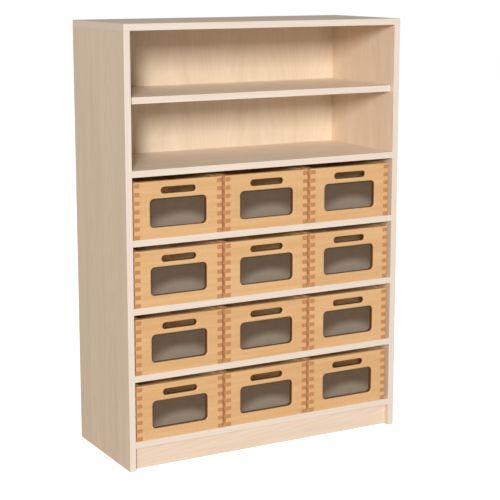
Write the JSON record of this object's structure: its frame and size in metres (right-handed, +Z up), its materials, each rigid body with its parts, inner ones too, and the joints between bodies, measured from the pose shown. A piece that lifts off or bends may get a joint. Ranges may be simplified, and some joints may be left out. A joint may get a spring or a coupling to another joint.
{
  "type": "tray storage unit",
  "caption": "Open-fronted cabinet on a plinth with a loose shelf above rows of pull-out finger-jointed beech boxes, each with a handle slot and a tinted window.",
  "frame": {"origin": "on the floor, under the middle of the cabinet's outline", "axes": "+Z up, +X to the right along the front, +Y from the open front to the back"},
  "size_m": [1.05, 0.42, 1.47],
  "materials": {
    "maple_board": "satin melamine face with a fine pale maple grain",
    "maple_back_board": "satin melamine face, upright grain",
    "maple_edging": "satin strip with a faint grain, edges eased",
    "beech": "clear satin lacquer on solid beech",
    "beech_dowel": "bare turned beech",
    "tinted_acrylic": "lightly smoke-tinted, satin see-through sheet",
    "nickel_steel": "nickel plated",
    "zinc_steel": "bright zinc plated"
  },
  "bodies": {
    "cabinet": {"left_side_panel": "maple_board", "right_side_panel": "maple_board", "top_panel": "maple_board", "bottom_panel": "maple_board", "plinth_board": "maple_board", "back_panel": "maple_back_board", "fixed_shelf_1": "maple_board", "fixed_shelf_2": "maple_board", "fixed_shelf_3": "maple_board", "fixed_shelf_4": "maple_board", "side_edgings": "maple_edging", "top_edging": "maple_edging", "shelf_edgings": "maple_edging", "shelf_pins": "nickel_steel", "dowels": "beech_dowel", "back_screws": "zinc_steel"},
    "loose_shelf": {"loose_shelf": "maple_board", "loose_shelf_edging": "maple_edging"},
    "box_a1": {"box_a1_front": "beech", "box_a1_body": "beech", "box_a1_window": "tinted_acrylic"},
    "box_a2": {"box_a2_front": "beech", "box_a2_body": "beech", "box_a2_window": "tinted_acrylic"},
    "box_a3": {"box_a3_front": "beech", "box_a3_body": "beech", "box_a3_window": "tinted_acrylic"},
    "box_b1": {"box_b1_front": "beech", "box_b1_body": "beech", "box_b1_window": "tinted_acrylic"},
    "box_b2": {"box_b2_front": "beech", "box_b2_body": "beech", "box_b2_window": "tinted_acrylic"},
    "box_b3": {"box_b3_front": "beech", "box_b3_body": "beech", "box_b3_window": "tinted_acrylic"},
    "box_c1": {"box_c1_front": "beech", "box_c1_body": "beech", "box_c1_window": "tinted_acrylic"},
    "box_c2": {"box_c2_front": "beech", "box_c2_body": "beech", "box_c2_window": "tinted_acrylic"},
    "box_c3": {"box_c3_front": "beech", "box_c3_body": "beech", "box_c3_window": "tinted_acrylic"},
    "box_d1": {"box_d1_front": "beech", "box_d1_body": "beech", "box_d1_window": "tinted_acrylic"},
    "box_d2": {"box_d2_front": "beech", "box_d2_body": "beech", "box_d2_window": "tinted_acrylic"},
    "box_d3": {"box_d3_front": "beech", "box_d3_body": "beech", "box_d3_window": "tinted_acrylic"}
  },
  "joints": [
    {"name": "box_a1_pull", "type": "slide", "parent": "cabinet", "child": "box_a1", "axis": [0, -1, 0], "range_m": [0, 0.4]},
    {"name": "box_a2_pull", "type": "slide", "parent": "cabinet", "child": "box_a2", "axis": [0, -1, 0], "range_m": [0, 0.4]},
    {"name": "box_a3_pull", "type": "slide", "parent": "cabinet", "child": "box_a3", "axis": [0, -1, 0], "range_m": [0, 0.4]},
    {"name": "box_b1_pull", "type": "slide", "parent": "cabinet", "child": "box_b1", "axis": [0, -1, 0], "range_m": [0, 0.4]},
    {"name": "box_b2_pull", "type": "slide", "parent": "cabinet", "child": "box_b2", "axis": [0, -1, 0], "range_m": [0, 0.4]},
    {"name": "box_b3_pull", "type": "slide", "parent": "cabinet", "child": "box_b3", "axis": [0, -1, 0], "range_m": [0, 0.4]},
    {"name": "box_c1_pull", "type": "slide", "parent": "cabinet", "child": "box_c1", "axis": [0, -1, 0], "range_m": [0, 0.4]},
    {"name": "box_c2_pull", "type": "slide", "parent": "cabinet", "child": "box_c2", "axis": [0, -1, 0], "range_m": [0, 0.4]},
    {"name": "box_c3_pull", "type": "slide", "parent": "cabinet", "child": "box_c3", "axis": [0, -1, 0], "range_m": [0, 0.4]},
    {"name": "box_d1_pull", "type": "slide", "parent": "cabinet", "child": "box_d1", "axis": [0, -1, 0], "range_m": [0, 0.4]},
    {"name": "box_d2_pull", "type": "slide", "parent": "cabinet", "child": "box_d2", "axis": [0, -1, 0], "range_m": [0, 0.4]},
    {"name": "box_d3_pull", "type": "slide", "parent": "cabinet", "child": "box_d3", "axis": [0, -1, 0], "range_m": [0, 0.4]},
    {"name": "loose_shelf_pull", "type": "slide", "parent": "cabinet", "child": "loose_shelf", "axis": [0, -1, 0], "range_m": [0, 0.412]}
  ]
}
